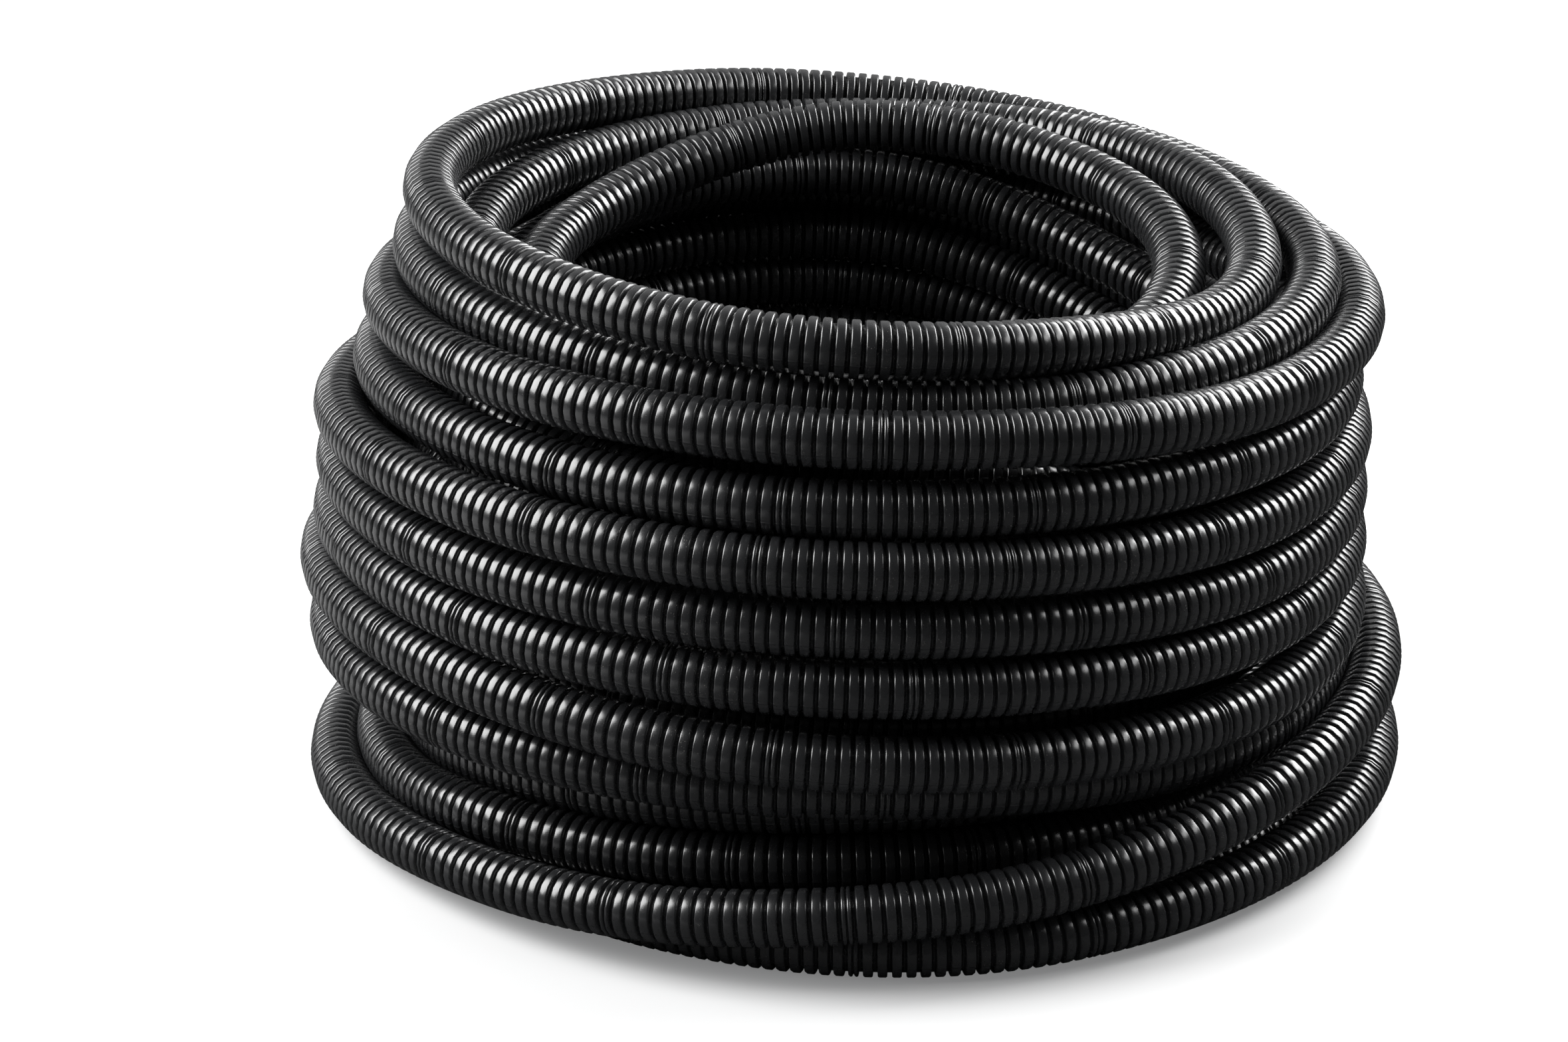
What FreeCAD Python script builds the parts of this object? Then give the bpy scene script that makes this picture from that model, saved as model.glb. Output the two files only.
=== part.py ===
import FreeCAD, Part
import math
import os
import sys

import Sketcher

# Corrugated conduit in a loose coil: one 20 mm black plastic tube, wound round and round.
# The coil stands on the floor with its eye upright. Its wound turns are one turned solid,
# whose outline is the row of tube sections that show: up the outside, over the top, and
# down the eye to the floor. The fine ribs of the tube are not part of the solid.
doc = FreeCAD.newDocument("corrugated_conduit")

# Driving dimensions in millimetres. A radius is measured from the coil's axis to the
# middle of a turn. A turn's "out" is how far it lies outside its own wall's radius, and
# wall_turns is how many turns lie side by side between the outside and the eye.
SIZES = [
    ("tube_outer", 20.0),
    ("nest_depth", 0.6),
    ("rest_sink", 0.3),
    ("coil_radius", 185.0),
    ("wall_turns", 3.0),
    ("outer_out_01", 5.0),
    ("outer_out_02", 9.0),
    ("outer_out_03", -2.0),
    ("outer_out_04", 4.0),
    ("outer_out_05", 6.0),
    ("outer_out_06", 3.0),
    ("outer_out_07", 1.0),
    ("outer_out_08", -2.0),
    ("outer_out_09", -6.0),
    ("outer_out_10", -10.0),
    ("outer_out_11", -17.0),
    ("top_out_01", -27.0),
    ("eye_out_01", 4.0),
    ("eye_out_02", 6.0),
    ("eye_out_03", 2.0),
    ("eye_out_04", -1.0),
    ("eye_out_05", 4.0),
    ("eye_out_06", 1.0),
    ("eye_out_07", 5.0),
    ("eye_out_08", 2.0),
    ("eye_out_09", 0.0),
]

sheet = doc.addObject("Spreadsheet::Sheet", "Sizes")
for row, (alias, value) in enumerate(SIZES, start=1):
    sheet.set("A%d" % row, alias)
    sheet.set("B%d" % row, str(value))
    sheet.setAlias("B%d" % row, alias)
doc.recompute()

SIZE = dict(SIZES)
TUBE_RADIUS = SIZE["tube_outer"] / 2
TURN_STEP = SIZE["tube_outer"] - SIZE["nest_depth"]
REST_HEIGHT = TUBE_RADIUS - SIZE["rest_sink"]
EYE_RADIUS = SIZE["coil_radius"] - (SIZE["wall_turns"] - 1) * TURN_STEP
EYE_RADIUS_RULE = "Sizes.coil_radius - (Sizes.wall_turns - 1) * (Sizes.tube_outer - Sizes.nest_depth)"


def outs(wall):
    """The names of a wall's turns, in the order in which the outline meets them."""
    return [alias for alias, _ in SIZES if alias.startswith(wall + "_out_")]


def lay_on(below, radius):
    """The middle of a turn of this radius that lies on the turn below it, one step away."""
    rise = math.sqrt(TURN_STEP ** 2 - (radius - below[0]) ** 2)
    return (radius, below[1] + rise)


def wound_turns():
    """Each turn as (wall, name, middle): the outside upwards and over the top, then the eye."""
    outside = []
    for name in outs("outer"):
        radius = SIZE["coil_radius"] + SIZE[name]
        middle = lay_on(outside[-1][2], radius) if outside else (radius, REST_HEIGHT)
        outside.append(("outer", name, middle))
    for name in outs("top"):
        radius = SIZE["coil_radius"] + SIZE[name]
        outside.append(("top", name, lay_on(outside[-1][2], radius)))

    first = outside[0][2]
    floor_count = round(SIZE["wall_turns"]) - 1
    floor = [("floor", "", (first[0] - TURN_STEP * (i + 1), REST_HEIGHT)) for i in range(floor_count)]

    eye = []
    for name in outs("eye"):
        below = eye[-1][2] if eye else floor[-1][2]
        eye.append(("eye", name, lay_on(below, EYE_RADIUS + SIZE[name])))
    return outside + eye[::-1] + floor[::-1]


def crossing(a, b):
    """Where the sections of two neighbouring turns cross, on the right of the way from a to b."""
    reach = math.hypot(b[0] - a[0], b[1] - a[1])
    depth = math.sqrt(TUBE_RADIUS ** 2 - (reach / 2) ** 2)
    right = ((b[1] - a[1]) / reach, (a[0] - b[0]) / reach)
    return ((a[0] + b[0]) / 2 + right[0] * depth, (a[1] + b[1]) / 2 + right[1] * depth)


def tangent_points(a, b):
    """The ends of the straight line that touches both sections, on the right from a to b."""
    reach = math.hypot(b[0] - a[0], b[1] - a[1])
    right = ((b[1] - a[1]) / reach * TUBE_RADIUS, (a[0] - b[0]) / reach * TUBE_RADIUS)
    return (a[0] + right[0], a[1] + right[1]), (b[0] + right[0], b[1] + right[1])


def add_arc(sketch, middle, start, end):
    """One turn's section in the outline, anticlockwise from start to end."""
    circle = Part.Circle(FreeCAD.Vector(middle[0], middle[1], 0), FreeCAD.Vector(0, 0, 1), TUBE_RADIUS)
    from_angle = math.atan2(start[1] - middle[1], start[0] - middle[0])
    to_angle = math.atan2(end[1] - middle[1], end[0] - middle[0])
    if to_angle <= from_angle:
        to_angle += 2 * math.pi
    arc = sketch.addGeometry(Part.ArcOfCircle(circle, from_angle, to_angle))
    radius = sketch.addConstraint(Sketcher.Constraint("Radius", arc, TUBE_RADIUS))
    sketch.setExpression("Constraints[%d]" % radius, "Sizes.tube_outer / 2")
    return arc


def add_line(sketch, start, end):
    """A straight side of the outline."""
    segment = Part.LineSegment(FreeCAD.Vector(start[0], start[1], 0), FreeCAD.Vector(end[0], end[1], 0))
    return sketch.addGeometry(segment)


def place_turn(sketch, arc, wall, name, middle):
    """Ties a section's distance from the axis to its own value in the sheet."""
    across = sketch.addConstraint(Sketcher.Constraint("DistanceX", -1, 1, arc, 3, middle[0]))
    base = EYE_RADIUS_RULE if wall == "eye" else "Sizes.coil_radius"
    sketch.setExpression("Constraints[%d]" % across, "%s + Sizes.%s" % (base, name))


def rest_turn(sketch, arc):
    """Sets a section that rests on the floor to its height."""
    height = sketch.addConstraint(Sketcher.Constraint("DistanceY", -1, 1, arc, 3, REST_HEIGHT))
    sketch.setExpression("Constraints[%d]" % height, "Sizes.tube_outer / 2 - Sizes.rest_sink")


def step_turn(sketch, arc, other):
    """Lays a section one step away from the one that carries it."""
    gap = sketch.addConstraint(Sketcher.Constraint("Distance", arc, 3, other, 3, TURN_STEP))
    sketch.setExpression("Constraints[%d]" % gap, "Sizes.tube_outer - Sizes.nest_depth")


def draw_outline(sketch):
    """Draws the closed row of tube sections, with a flat under each turn on the floor."""
    turns = wound_turns()
    count = len(turns)
    last_outside = max(i for i, turn in enumerate(turns) if turn[0] in ("outer", "top"))
    half_flat = math.sqrt(TUBE_RADIUS ** 2 - REST_HEIGHT ** 2)
    lead_in, lead_out = [], []
    for i in range(count):
        here, after = turns[i][2], turns[(i + 1) % count][2]
        if i == last_outside:
            leave, arrive = tangent_points(here, after)
        else:
            leave = arrive = crossing(here, after)
        lead_out.append(leave)
        lead_in.append(arrive)
    lead_in = lead_in[-1:] + lead_in[:-1]

    first_arcs, last_arcs = [], []
    for i, (wall, name, middle) in enumerate(turns):
        on_floor = wall == "floor" or i == 0
        if on_floor:
            inner, outer = (middle[0] - half_flat, 0.0), (middle[0] + half_flat, 0.0)
            first = add_arc(sketch, middle, lead_in[i], inner)
            flat = add_line(sketch, inner, outer)
            last = add_arc(sketch, middle, outer, lead_out[i])
            sketch.addConstraint(Sketcher.Constraint("Coincident", first, 3, last, 3))
            sketch.addConstraint(Sketcher.Constraint("Coincident", first, 2, flat, 1))
            sketch.addConstraint(Sketcher.Constraint("Coincident", flat, 2, last, 1))
            sketch.addConstraint(Sketcher.Constraint("PointOnObject", flat, 1, -1))
            sketch.addConstraint(Sketcher.Constraint("PointOnObject", flat, 2, -1))
            rest_turn(sketch, last)
        else:
            first = last = add_arc(sketch, middle, lead_in[i], lead_out[i])
        if name:
            place_turn(sketch, last, wall, name, middle)
        first_arcs.append(first)
        last_arcs.append(last)

    for i in range(count):
        j = (i + 1) % count
        if i == last_outside:
            line = add_line(sketch, lead_out[i], lead_in[j])
            sketch.addConstraint(Sketcher.Constraint("Tangent", last_arcs[i], 2, line, 1))
            sketch.addConstraint(Sketcher.Constraint("Tangent", line, 2, first_arcs[j], 1))
        else:
            sketch.addConstraint(Sketcher.Constraint("Coincident", last_arcs[i], 2, first_arcs[j], 1))
            step_turn(sketch, last_arcs[i], first_arcs[j])


def origin_plane(body, role):
    """One of the body's own origin planes."""
    return next(item for item in body.Origin.OriginFeatures if item.Role == role)


body = doc.addObject("PartDesign::Body", "conduit_coil")
body.Label = "conduit_coil"
outline = body.newObject("Sketcher::SketchObject", "turn_outline")
outline.AttachmentSupport = [(origin_plane(body, "XZ_Plane"), "")]
outline.MapMode = "FlatFace"
draw_outline(outline)
doc.recompute()

winding = body.newObject("PartDesign::Revolution", "wound_turns")
winding.Profile = outline
winding.ReferenceAxis = (outline, ["V_Axis"])
winding.Angle = 360
body.Tip = winding
doc.recompute()

for item in doc.Objects:
    if "Invalid" in item.State or "Error" in item.State:
        sys.exit("%s could not be worked out: %s" % (item.Name, item.State))
shape = body.Shape
if shape.isNull() or not shape.isValid() or len(shape.Solids) != 1:
    sys.exit("the coil is not one valid solid")
if outline.solve() != 0:
    sys.exit("the outline's sizes contradict each other")

os.makedirs("parts", exist_ok=True)
shape.exportStep("parts/%s.step" % body.Label)
box = shape.optimalBoundingBox(False, False)
print("coil %.1f across, %.1f high, %.3f litres" % (box.XLength, box.ZLength, shape.Volume / 1e6))
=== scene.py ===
import math

import bpy
import numpy as np
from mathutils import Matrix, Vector


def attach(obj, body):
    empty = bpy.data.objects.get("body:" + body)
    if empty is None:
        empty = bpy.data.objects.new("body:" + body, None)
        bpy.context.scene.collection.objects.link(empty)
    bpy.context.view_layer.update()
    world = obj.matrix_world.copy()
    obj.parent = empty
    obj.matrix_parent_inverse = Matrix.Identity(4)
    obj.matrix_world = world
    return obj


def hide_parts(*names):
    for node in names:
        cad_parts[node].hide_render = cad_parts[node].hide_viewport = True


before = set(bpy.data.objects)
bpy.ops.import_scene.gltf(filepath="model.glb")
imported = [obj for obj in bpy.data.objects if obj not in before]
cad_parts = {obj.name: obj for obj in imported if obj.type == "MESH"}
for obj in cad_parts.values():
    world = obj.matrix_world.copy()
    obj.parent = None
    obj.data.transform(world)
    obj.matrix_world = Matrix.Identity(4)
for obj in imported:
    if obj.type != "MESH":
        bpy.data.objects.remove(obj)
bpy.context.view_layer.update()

# The camera
# It stands as the photograph was taken, low and far off with a long lens, and looks
# slightly down into the eye of the coil.
PHOTO_WIDTH = 2359
LENS_PIXELS = 6200
FILM_WIDTH = 36.0
CAMERA_AWAY = 1.454
CAMERA_HEIGHT = 0.640
CAMERA_TILT = math.radians(20.58)
CAMERA_TURN = math.radians(0.99)

camera_data = bpy.data.cameras.new("camera")
camera_data.lens = FILM_WIDTH * LENS_PIXELS / PHOTO_WIDTH
camera_data.sensor_width = FILM_WIDTH
camera = bpy.data.objects.new("camera", camera_data)
camera.location = (0.0, -CAMERA_AWAY, CAMERA_HEIGHT)
camera.rotation_euler = (math.pi / 2 - CAMERA_TILT, 0.0, CAMERA_TURN)
bpy.context.scene.collection.objects.link(camera)
bpy.context.scene.camera = camera
bpy.context.scene.view_settings.view_transform = "Standard"

# The route of the tube
# The tube is wound by hand from one length: a first turn on the floor, an inner layer up
# from it, a small loop across the eye, and then the outside layer down to the floor again.
# Nothing ties it, so each turn has its own size and lies as the turns under it carry it.
TUBE_OUTER = 0.020
TUBE_LENGTH = 25.0
BEARINGS = 6
STEPS_A_BEARING = 4
POINTS_A_TURN = BEARINGS * STEPS_A_BEARING
CURVE_STEPS = 10
MILLIMETRE = 0.001

# The inner layer, in turns and millimetres.
INNER_TURNS = 5
INNER_RADIUS = 151
INNER_SWAY = 6
FLOOR_TURNS = 1
FLOOR_STEP = 20
LAYER_STEP = 24
LAYER_TILT = 0.05
FLOOR_REST = 10

# How the turns settle. The outside turns give way less than the inner ones, because their
# places are given one by one.
CLOSEST = 0.985 * TUBE_OUTER
SETTLE_ROUNDS = 80
INNER_GIVE = 0.5
OUTER_GIVE = 0.12
TINY = 1e-9

# Each row is one turn: how far its middle lies from the coil's axis, and how high above the
# floor, in millimetres, at the front, left front, left back, back, right back, right front.
# The last row holds only the tube's end.
LOOSE_TURNS = [
    ((148, 150, 152, 153, 152, 146), (96, 108, 117, 121, 90, 93)),
    ((152, 152, 153, 155, 150, 155), (116, 128, 137, 141, 108, 112)),
    ((162, 154, 154, 155, 148, 152), (134, 148, 157, 162, 128, 129)),
    ((149, 150, 148, 168, 160, 160), (149, 167, 176, 173, 143, 139)),
    ((142, 132, 132, 146, 146, 165), (168, 172, 186, 190, 158, 158)),
    ((120, 117, 115, 112, 119, 121), (174, 188, 197, 218, 206, 190)),
    ((132, 138, 143, 150, 144, 150), (190, 196, 206, 209, 211, 200)),
    ((157, 153, 157, 165, 169, 168), (213, 225, 226, 214, 200, 193)),
    ((156, 155, 163, 175, 183, 184), (195, 203, 205, 195, 187, 184)),
    ((176, 170, 172, 186, 170, 181), (189, 191, 184, 178, 172, 163)),
    ((178, 174, 176, 185, 182, 183), (165, 167, 162, 158, 146, 139)),
    ((187, 189, 189, 186, 181, 183), (147, 151, 142, 138, 124, 117)),
    ((184, 188, 190, 186, 181, 184), (125, 128, 121, 118, 105, 97)),
    ((186, 190, 192, 187, 182, 184), (104, 108, 101, 98, 84, 69)),
    ((189, 194, 198, 191, 180, 178), (78, 90, 84, 78, 65, 56)),
    ((175, 193, 191, 182, 170, 160), (62, 66, 60, 58, 47, 47)),
    ((160, 163, 163, 168, 166, 163), (49, 35, 28, 30, 28, 30)),
    ((165, 177, 172, 190, 198, 197), (33, 21, 20, 40, 54, 46)),
    ((198, 195, 188, 190, 199, 197), (24, 15, 10, 10, 15, 14)),
    ((191, 168, 158, 160, 172, 177), (10, 10, 10, 10, 10, 10)),
    ((170,), (10,)),
]


def inner_layer():
    """The first turn widens on the floor, and each turn after it lies one layer step higher,
    less at the front and more at the back by the layer's tilt. With n turns since the start
    the radius sways by the cosine of pi n, so that the fronts of the turns nest."""
    turn = np.arange(INNER_TURNS * BEARINGS) / BEARINGS
    on_floor = np.clip(FLOOR_TURNS - turn, 0.0, None)
    above = np.clip(turn - FLOOR_TURNS, 0.0, None)
    sway = INNER_SWAY * np.cos(math.pi * turn)
    tilt = 1.0 - LAYER_TILT * np.cos(2 * math.pi * turn)
    return INNER_RADIUS - FLOOR_STEP * on_floor + sway, FLOOR_REST + LAYER_STEP * above * tilt


def smooth_between(values, steps):
    """Puts steps even stations in each gap between the values, on Catmull-Rom cubics: with
    p0 to p3 round the gap and u from 0 to 1, the value is half of 2 p1 + (p2 - p0) u +
    (2 p0 - 5 p1 + 4 p2 - p3) u^2 + (3 p1 - p0 - 3 p2 + p3) u^3."""
    padded = np.concatenate([values[:1], values, values[-1:]])
    p0, p1, p2, p3 = (padded[i:len(padded) - 3 + i, None] for i in range(4))
    u = np.arange(steps) / steps
    cubic = (2 * p1 + (p2 - p0) * u + (2 * p0 - 5 * p1 + 4 * p2 - p3) * u ** 2
             + (3 * p1 - p0 - 3 * p2 + p3) * u ** 3) / 2
    return np.append(cubic.ravel(), values[-1])


def settle(radius, height, give):
    """Lets the turns push each other apart where they press in: at each bearing, two turns
    whose middles are nearer than CLOSEST move away from each other by their give times what
    is missing, and none sinks below its rest on the floor."""
    turn = np.arange(len(radius))
    same_bearing = (turn[:, None] - turn[None, :]) % POINTS_A_TURN == 0
    np.fill_diagonal(same_bearing, False)
    for _ in range(SETTLE_ROUNDS):
        out = radius[:, None] - radius[None, :]
        up = height[:, None] - height[None, :]
        apart = np.hypot(out, up) + TINY
        missing = np.where(same_bearing, np.clip(CLOSEST - apart, 0.0, None), 0.0)
        radius = radius + give * (missing * out / apart).sum(1)
        height = height + give * (missing * up / apart).sum(1)
        height = np.maximum(height, TUBE_OUTER / 2)
    return radius, height


def route_curve(name, points):
    """A smooth NURBS spline with these control points, from end to end."""
    data = bpy.data.curves.new(name, "CURVE")
    data.dimensions = "3D"
    spline = data.splines.new("NURBS")
    spline.points.add(len(points) - 1)
    spline.points.foreach_set("co", np.column_stack([points, np.ones(len(points))]).ravel())
    spline.order_u = 3
    spline.use_endpoint_u = True
    spline.resolution_u = CURVE_STEPS
    return bpy.data.objects.new(name, data)


def points_along(curve):
    """The points that the curve's own line runs through, in order."""
    bpy.context.scene.collection.objects.link(curve)
    bpy.context.view_layer.update()
    line = bpy.data.meshes.new_from_object(curve)
    points = np.empty(len(line.vertices) * 3)
    line.vertices.foreach_get("co", points)
    bpy.data.meshes.remove(line)
    bpy.data.objects.remove(curve)
    return points.reshape(-1, 3)


inner_radius, inner_height = inner_layer()
bearing_radius = np.concatenate([inner_radius] + [radii for radii, _ in LOOSE_TURNS]) * MILLIMETRE
bearing_height = np.concatenate([inner_height] + [heights for _, heights in LOOSE_TURNS]) * MILLIMETRE
turn_radius = smooth_between(bearing_radius, STEPS_A_BEARING)
turn_height = smooth_between(bearing_height, STEPS_A_BEARING)
is_inner = np.arange(len(turn_radius)) < INNER_TURNS * POINTS_A_TURN
turn_give = np.where(is_inner, INNER_GIVE, OUTER_GIVE)
turn_radius, turn_height = settle(turn_radius, turn_height, turn_give)

# The first value of each row is at the front, and the turns run from there to the left. A
# control point lies a little outside its turn, because the spline cuts its corners.
bearing = -math.pi / 2 - 2 * math.pi * np.arange(len(turn_radius)) / POINTS_A_TURN
spline_cuts_in = math.cos(math.pi / POINTS_A_TURN)
controls = np.column_stack([turn_radius * np.cos(bearing) / spline_cuts_in,
                            turn_radius * np.sin(bearing) / spline_cuts_in,
                            turn_height])
route = points_along(route_curve("tube_route", controls))
route_metres = np.append(0.0, np.cumsum(np.linalg.norm(np.diff(route, axis=0), axis=1)))

# The corrugated tube
# Extruded black polyethylene, moulded into ribs as it leaves the die: wide flat ribs with
# narrow deep grooves between them. Where two blocks of the mould's chain meet, after every
# sixteen ribs, one rib is split in two by a fine groove.
RIB_PITCH = 0.0048
GROOVE_WIDTH = 0.0017
GROOVE_DEPTH = 0.0018
GROOVE_FOOT = 0.42
SPLIT_WIDTH = 0.0007
SPLIT_DEPTH = 0.0009
SHOULDER_RUN = 0.00045
SHOULDER_DROP = 0.0003
CREST_TILT = math.radians(6)
SHOULDER_TILT = math.radians(50)
FLANK_TILT = math.radians(80)
RIBS_A_BLOCK = 17
RINGS_A_RIB = 6
MOUTH_RIBS = 10
WALL = 0.0006


def rib_table(length):
    """The ribs along a length: where each starts and ends, from middle of groove to middle
    of groove, and the width and depth of the groove at either end. A block is sixteen full
    ribs and one split in two halves."""
    halves = np.where(np.arange(RIBS_A_BLOCK) < RIBS_A_BLOCK - 1, 1, 2)
    widths = np.repeat(RIB_PITCH / halves, halves)
    blocks = int(length / (RIB_PITCH * RIBS_A_BLOCK)) + 1
    widths = np.tile(widths, blocks)
    ends = np.cumsum(widths)
    starts = ends - widths
    split_after = np.tile(np.arange(RIBS_A_BLOCK + 1) == RIBS_A_BLOCK - 1, blocks)
    split_before = np.roll(split_after, 1)
    keep = ends <= length
    return (starts[keep], ends[keep],
            np.where(split_before, SPLIT_WIDTH, GROOVE_WIDTH)[keep],
            np.where(split_after, SPLIT_WIDTH, GROOVE_WIDTH)[keep],
            np.where(split_before, SPLIT_DEPTH, GROOVE_DEPTH)[keep],
            np.where(split_after, SPLIT_DEPTH, GROOVE_DEPTH)[keep])


def rib_rings(starts, ends, width_before, width_after, depth_before, depth_after):
    """Six rings a rib, as (metres along, radius, tilt): the foot of the groove, the shoulder
    and the edge of the flat crest, and the same mirrored at the far end. The tilt is how far
    the surface leans from straight outwards towards the far end."""
    crest = TUBE_OUTER / 2
    along = np.stack([starts + GROOVE_FOOT * width_before,
                      starts + 0.5 * width_before,
                      starts + 0.5 * width_before + SHOULDER_RUN,
                      ends - 0.5 * width_after - SHOULDER_RUN,
                      ends - 0.5 * width_after,
                      ends - GROOVE_FOOT * width_after], axis=1)
    radius = np.stack([crest - depth_before,
                       np.full_like(starts, crest - SHOULDER_DROP),
                       np.full_like(starts, crest),
                       np.full_like(starts, crest),
                       np.full_like(starts, crest - SHOULDER_DROP),
                       crest - depth_after], axis=1)
    tilt = np.tile([-FLANK_TILT, -SHOULDER_TILT, -CREST_TILT, CREST_TILT, SHOULDER_TILT, FLANK_TILT],
                   len(starts))
    return along.ravel(), radius.ravel(), tilt


def route_at(metres):
    """The points of the route at these metres from its start."""
    return np.stack([np.interp(metres, route_metres, route[:, i]) for i in range(3)], axis=1)


def place_along(metres):
    """Where the tube's middle is at these metres along the route, and its two directions
    across: outwards is straight up crossed with the tangent, and upwards is square to both.
    The tangent runs from one rib behind to one rib ahead."""
    middle = route_at(metres)
    tangent = route_at(metres + RIB_PITCH) - route_at(metres - RIB_PITCH)
    tangent /= np.linalg.norm(tangent, axis=1)[:, None]
    outwards = np.cross([0.0, 0.0, 1.0], tangent)
    outwards /= np.linalg.norm(outwards, axis=1)[:, None]
    return middle, outwards, np.cross(tangent, outwards)


def tube_mesh(name, from_metre, to_metre, sides, open_start=False, open_end=False):
    """A closed tube along the route: vertex (i, j) is the middle at ring i plus its radius
    times across, which is cos a outwards + sin a upwards, with a = 2 pi j / sides. Its normal
    is cos t across + sin t tangent, where t is the ring's tilt. At an open end the rings turn
    back inside, one wall deeper, for a few ribs. The UV map runs in metres along the tube and
    once round it."""
    along, radius, tilt = rib_rings(*rib_table(to_metre - from_metre))
    mouth = RINGS_A_RIB * MOUTH_RIBS
    if open_end:
        along = np.append(along, along[-mouth:][::-1])
        radius = np.append(radius, radius[-mouth:][::-1] - WALL)
        tilt = np.append(tilt, tilt[-mouth:][::-1] + math.pi)
    if open_start:
        along = np.append(along[:mouth][::-1], along)
        radius = np.append(radius[:mouth][::-1] - WALL, radius)
        tilt = np.append(tilt[:mouth][::-1] + math.pi, tilt)
    middle, outwards, upwards = place_along(from_metre + along)
    rings = len(along)
    angle = 2 * math.pi * np.arange(sides) / sides
    across = (outwards[:, None, :] * np.cos(angle)[None, :, None]
              + upwards[:, None, :] * np.sin(angle)[None, :, None])
    points = middle[:, None, :] + radius[:, None, None] * across
    tangent = np.cross(outwards, upwards)[:, None, :]
    normals = np.cos(tilt)[:, None, None] * across + np.sin(tilt)[:, None, None] * tangent

    i, j = np.meshgrid(np.arange(rings - 1), np.arange(sides), indexing="ij")
    k = (j + 1) % sides
    quads = np.stack([i * sides + j, i * sides + k, (i + 1) * sides + k, (i + 1) * sides + j], axis=-1)
    quads = quads.reshape(-1, 4)
    caps = [list(range(sides))[::-1], [(rings - 1) * sides + n for n in range(sides)]]
    mesh = bpy.data.meshes.new(name)
    mesh.from_pydata(points.reshape(-1, 3).tolist(), [], quads.tolist() + caps)

    run = from_metre + along
    u = np.stack([run[i], run[i], run[i + 1], run[i + 1]], axis=-1)
    v = np.stack([j, j + 1, j + 1, j], axis=-1) / sides
    corners = np.stack([u, v], axis=-1).reshape(-1, 2)
    cap_corners = np.zeros((2 * sides, 2))
    uv_layer = mesh.uv_layers.new(name="along_tube")
    uv_layer.data.foreach_set("uv", np.concatenate([corners, cap_corners]).ravel())
    mesh.polygons.foreach_set("use_smooth", np.ones(len(mesh.polygons), bool))
    mesh.normals_split_custom_set_from_vertices(normals.reshape(-1, 3).tolist())
    mesh.update()
    return mesh


class Socket:
    """A shader value. Its operators add Math nodes, so that maths reads as an expression."""
    tree = None

    def __init__(self, output):
        self.output = output

    def math(self, operation, *others):
        return Socket.node("ShaderNodeMath", {"operation": operation}, dict(enumerate((self,) + others)))

    def __add__(self, other):
        return self.math("ADD", other)

    __radd__ = __add__

    def __sub__(self, other):
        return self.math("SUBTRACT", other)

    def __rsub__(self, other):
        return Socket.node("ShaderNodeMath", {"operation": "SUBTRACT"}, {0: other, 1: self})

    def __mul__(self, other):
        return self.math("MULTIPLY", other)

    __rmul__ = __mul__

    def also(self, output):
        """Another output of the same node."""
        return Socket(self.output.node.outputs[output])

    def between(self, low, high):
        """0 below low, 1 above high, and smooth in between."""
        return Socket.node("ShaderNodeMapRange", {"interpolation_type": "SMOOTHSTEP"},
                           {"Value": self, "From Min": low, "From Max": high})

    @classmethod
    def node(cls, kind, settings=None, inputs=None, output=0):
        """Adds one node: its settings first, then the values or links of its sockets."""
        node = cls.tree.nodes.new(kind)
        for key, value in (settings or {}).items():
            setattr(node, key, value)
        for key, value in (inputs or {}).items():
            if isinstance(value, Socket):
                cls.tree.links.new(value.output, node.inputs[key])
            else:
                node.inputs[key].default_value = value
        return cls(node.outputs[output])


# Which output is meant of a Texture Coordinate, Separate XYZ or Light Path node.
GENERATED, OBJECT = 0, 3
X, Y = 0, 1
CAMERA_RAY, DIFFUSE_RAY, GLOSSY_RAY = 0, 2, 3


def noise(place, scale, detail=3.0):
    """A smooth random value, with this many waves a metre and these finer octaves."""
    return Socket.node("ShaderNodeTexNoise", {}, {"Vector": place, "Scale": scale, "Detail": detail,
                                                  "Roughness": 0.55})


def part_of(vector, output):
    """One part, X or Y, of a vector."""
    return Socket.node("ShaderNodeSeparateXYZ", {}, {"Vector": vector}, output)


def mixed(factor, first, second):
    """The second colour over the first by this factor. A Mix node's colours go into its
    sockets 6 and 7 and come out of its output 2."""
    return Socket.node("ShaderNodeMix", {"data_type": "RGBA"}, {"Factor": factor, 6: first, 7: second}, 2)


def mixed_shader(factor, first, second):
    """The second shader over the first by this factor."""
    return Socket.node("ShaderNodeMixShader", {}, {0: factor, 1: first, 2: second})


PARTING_LINE_AT = 0.95
PARTING_LINE_HALF = 0.003
PARTING_LINE_FOOT = 0.008


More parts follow.
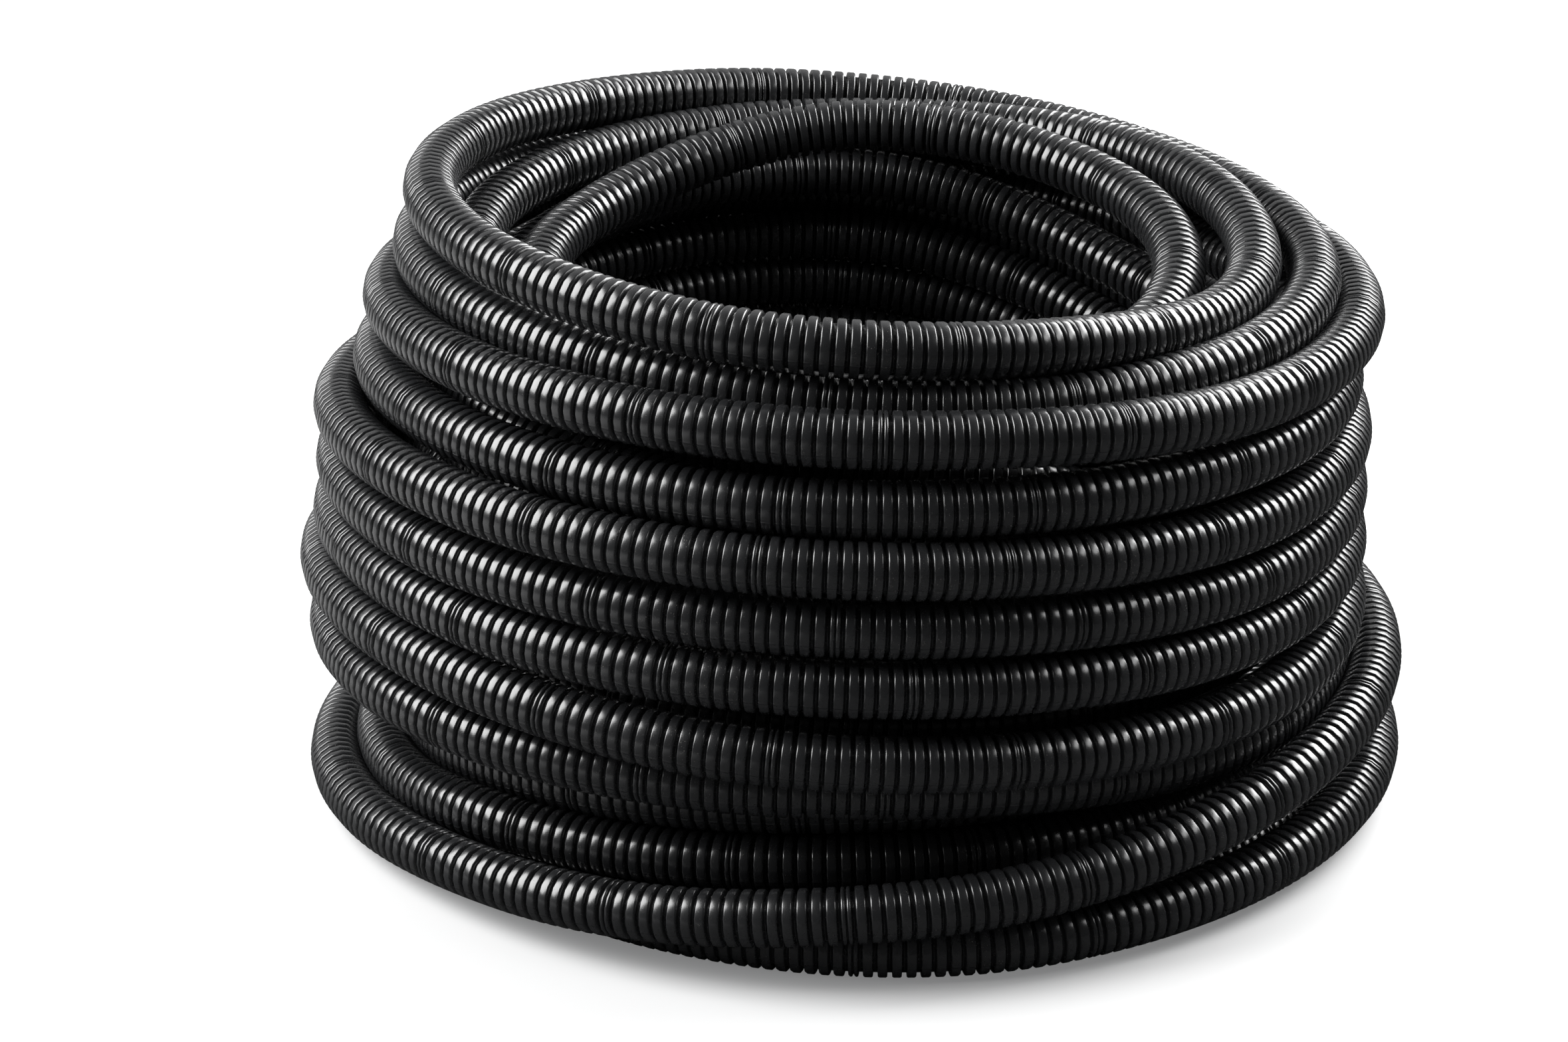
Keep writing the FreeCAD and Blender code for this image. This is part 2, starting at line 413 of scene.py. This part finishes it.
def conduit_plastic():
    """Semi-gloss black polyethylene: fine haze and scuffs on the crests, a thin parting line
    along the tube, and a little pale dust."""
    material = bpy.data.materials.new("conduit_plastic")
    material.use_nodes = True
    tree = material.node_tree
    Socket.tree = tree
    shader = tree.nodes["Principled BSDF"]
    place = Socket.node("ShaderNodeTexCoord", output=OBJECT)
    round_tube = part_of(Socket.node("ShaderNodeUVMap", {"uv_map": "along_tube"}), Y)

    haze = noise(place, 60.0, 4.0)
    scuffs = noise(place, 900.0, 2.0).between(0.60, 0.72)
    dust = noise(place, 2600.0, 1.0).between(0.73, 0.78) * noise(place, 25.0).between(0.45, 0.65)
    black = mixed(haze, (0.0085, 0.0088, 0.0095, 1.0), (0.0135, 0.0139, 0.0147, 1.0))
    colour = mixed(dust * 0.6, black, (0.30, 0.28, 0.25, 1.0))

    line_off = (round_tube - PARTING_LINE_AT).math("ABSOLUTE")
    line = 1.0 - line_off.between(PARTING_LINE_HALF, PARTING_LINE_FOOT)
    height = line * 1.6 + noise(place, 1500.0, 2.0) * 0.012 + haze * 0.05
    bump = Socket.node("ShaderNodeBump", {}, {"Height": height, "Distance": 0.0002, "Strength": 0.4})

    roughness = 0.21 + haze * 0.09 + scuffs * 0.06 + dust * 0.3
    for key, value in (("Base Color", colour), ("Roughness", roughness), ("Normal", bump)):
        tree.links.new(value.output, shader.inputs[key])
    shader.inputs["IOR"].default_value = 1.51
    shader.inputs["Specular IOR Level"].default_value = 0.7
    return material


plastic = conduit_plastic()

# The meshes that the one tube is cut into: each one's name, where it ends in metres from the
# hidden inner end, and its sides. Each joint is moved to the nearest end of a block, where
# both meshes are at the foot of a groove.
LENGTHS = [
    ("conduit_hidden_turns", 4.3, 10),
    ("conduit_inner_turns", 8.6, 14),
    ("conduit_top_turns", 12.7, 16),
    ("conduit_upper_turns", 16.8, 16),
    ("conduit_lower_turns", 20.9, 16),
    ("conduit_floor_turns", TUBE_LENGTH, 16),
]
END_MARGIN = 0.002
ROUNDING = 1e-6

block_length = RIB_PITCH * RIBS_A_BLOCK
ends = [round(end / block_length) * block_length for _, end, _ in LENGTHS]
tube_start = route_metres[-1] - ends[-1] - END_MARGIN

first = tube_start
for (name, _, sides), end in zip(LENGTHS, ends):
    last = tube_start + end
    mesh = tube_mesh(name, first, last + ROUNDING, sides,
                     open_start=first == tube_start, open_end=last == tube_start + ends[-1])
    mesh.materials.append(plastic)
    piece = bpy.data.objects.new(name, mesh)
    bpy.context.scene.collection.objects.link(piece)
    inside = (route_metres > first) & (route_metres < last)
    steps = np.concatenate([[first], route_metres[inside], [last]])
    path, _, _ = place_along(steps)
    float(last - first)
    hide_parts("conduit_coil")
    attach(piece, "root")
    first = last

# The floor and the light
# A plain pale floor, a white surround, and three soft lamps: one like a large window at the
# left, one at the right, and a narrow high one in front of that. The floor is dim where the
# tube mirrors it, and less so at the left, which keeps the undersides of the ribs dark.
FLOOR_HALF = 6.0
FLOOR_GREY = (0.65, 0.65, 0.65, 1.0)
FLOOR_ROUGHNESS = 0.6
FLOOR_WHITE = (0.985, 0.99, 1.0, 1.0)
FLOOR_OWN_LIGHT = 0.97
FLOOR_OWN_SHARE = 0.2
MIRRORED_DIMMING = 0.95
LESS_AT_LEFT = 0.37
WHITE = (1.0, 1.0, 1.0, 1.0)
BLACK = (0.0, 0.0, 0.0, 1.0)

floor_data = bpy.data.meshes.new("floor")
floor_data.from_pydata([(-FLOOR_HALF, -FLOOR_HALF, 0), (FLOOR_HALF, -FLOOR_HALF, 0),
                        (FLOOR_HALF, FLOOR_HALF, 0), (-FLOOR_HALF, FLOOR_HALF, 0)], [], [(0, 1, 2, 3)])
floor = bpy.data.objects.new("floor", floor_data)
bpy.context.scene.collection.objects.link(floor)

floor_paint = bpy.data.materials.new("floor_paint")
floor_paint.use_nodes = True
Socket.tree = floor_paint.node_tree
floor_shader = floor_paint.node_tree.nodes["Principled BSDF"]
floor_shader.inputs["Base Color"].default_value = FLOOR_GREY
floor_shader.inputs["Roughness"].default_value = FLOOR_ROUGHNESS
camera_ray = Socket.node("ShaderNodeLightPath", output=CAMERA_RAY)
own_light = Socket.node("ShaderNodeEmission", {}, {"Color": FLOOR_WHITE, "Strength": FLOOR_OWN_LIGHT})
left_of_coil = 1.0 - part_of(Socket.node("ShaderNodeTexCoord", output=OBJECT), X).between(-0.45, -0.10)
lit_floor = mixed_shader(camera_ray * FLOOR_OWN_SHARE, Socket(floor_shader.outputs[0]), own_light)
unlit = Socket.node("ShaderNodeEmission", {}, {"Color": BLACK, "Strength": 0.0})
dimming = camera_ray.also(GLOSSY_RAY) * (MIRRORED_DIMMING - left_of_coil * LESS_AT_LEFT)
seen_floor = mixed_shader(dimming, lit_floor, unlit)
floor_paint.node_tree.links.new(seen_floor.output,
                                floor_paint.node_tree.nodes["Material Output"].inputs["Surface"])
floor_data.materials.append(floor_paint)

# The surround is white to the camera. It lights the floor and the tube from behind the coil
# more than from the front, so that the coil's soft shadow falls forwards. Its strength is
# given at the front, with what the back adds, for diffuse and for mirrored rays.
DIFFUSE_FRONT, DIFFUSE_BACK = 0.15, 1.2
MIRRORED_FRONT, MIRRORED_BACK = 0.02, 0.45

world = bpy.data.worlds.new("surround")
bpy.context.scene.world = world
world.use_nodes = True
Socket.tree = world.node_tree
behind_coil = part_of(Socket.node("ShaderNodeTexCoord", output=GENERATED), Y).between(0.05, 0.75)
camera_ray = Socket.node("ShaderNodeLightPath", output=CAMERA_RAY)
diffuse_light = camera_ray.also(DIFFUSE_RAY) * (DIFFUSE_FRONT + behind_coil * DIFFUSE_BACK)
mirrored_light = camera_ray.also(GLOSSY_RAY) * (MIRRORED_FRONT + behind_coil * MIRRORED_BACK)
strength = camera_ray.math("MAXIMUM", diffuse_light).math("MAXIMUM", mirrored_light)
background = world.node_tree.nodes["Background"]
background.inputs["Color"].default_value = WHITE
world.node_tree.links.new(strength.output, background.inputs["Strength"])


def soft_lamp(name, place, target, width, height, power):
    """A rectangular softbox that faces its target: sizes in metres, power in watts."""
    data = bpy.data.lights.new(name, "AREA")
    data.shape = "RECTANGLE"
    data.size = width
    data.size_y = height
    data.energy = power
    lamp = bpy.data.objects.new(name, data)
    lamp.location = place
    lamp.rotation_euler = (Vector(target) - Vector(place)).to_track_quat("-Z", "Y").to_euler()
    bpy.context.scene.collection.objects.link(lamp)


COIL_MIDDLE = (0.0, 0.0, 0.11)
soft_lamp("left_lamp", (-1.18, -0.09, 1.03), COIL_MIDDLE, 1.2, 1.15, 52)
soft_lamp("right_lamp", (0.98, 0.72, 0.99), COIL_MIDDLE, 1.35, 0.75, 41)
soft_lamp("right_high_lamp", (1.02, 0.10, 1.20), COIL_MIDDLE, 1.5, 0.45, 12)
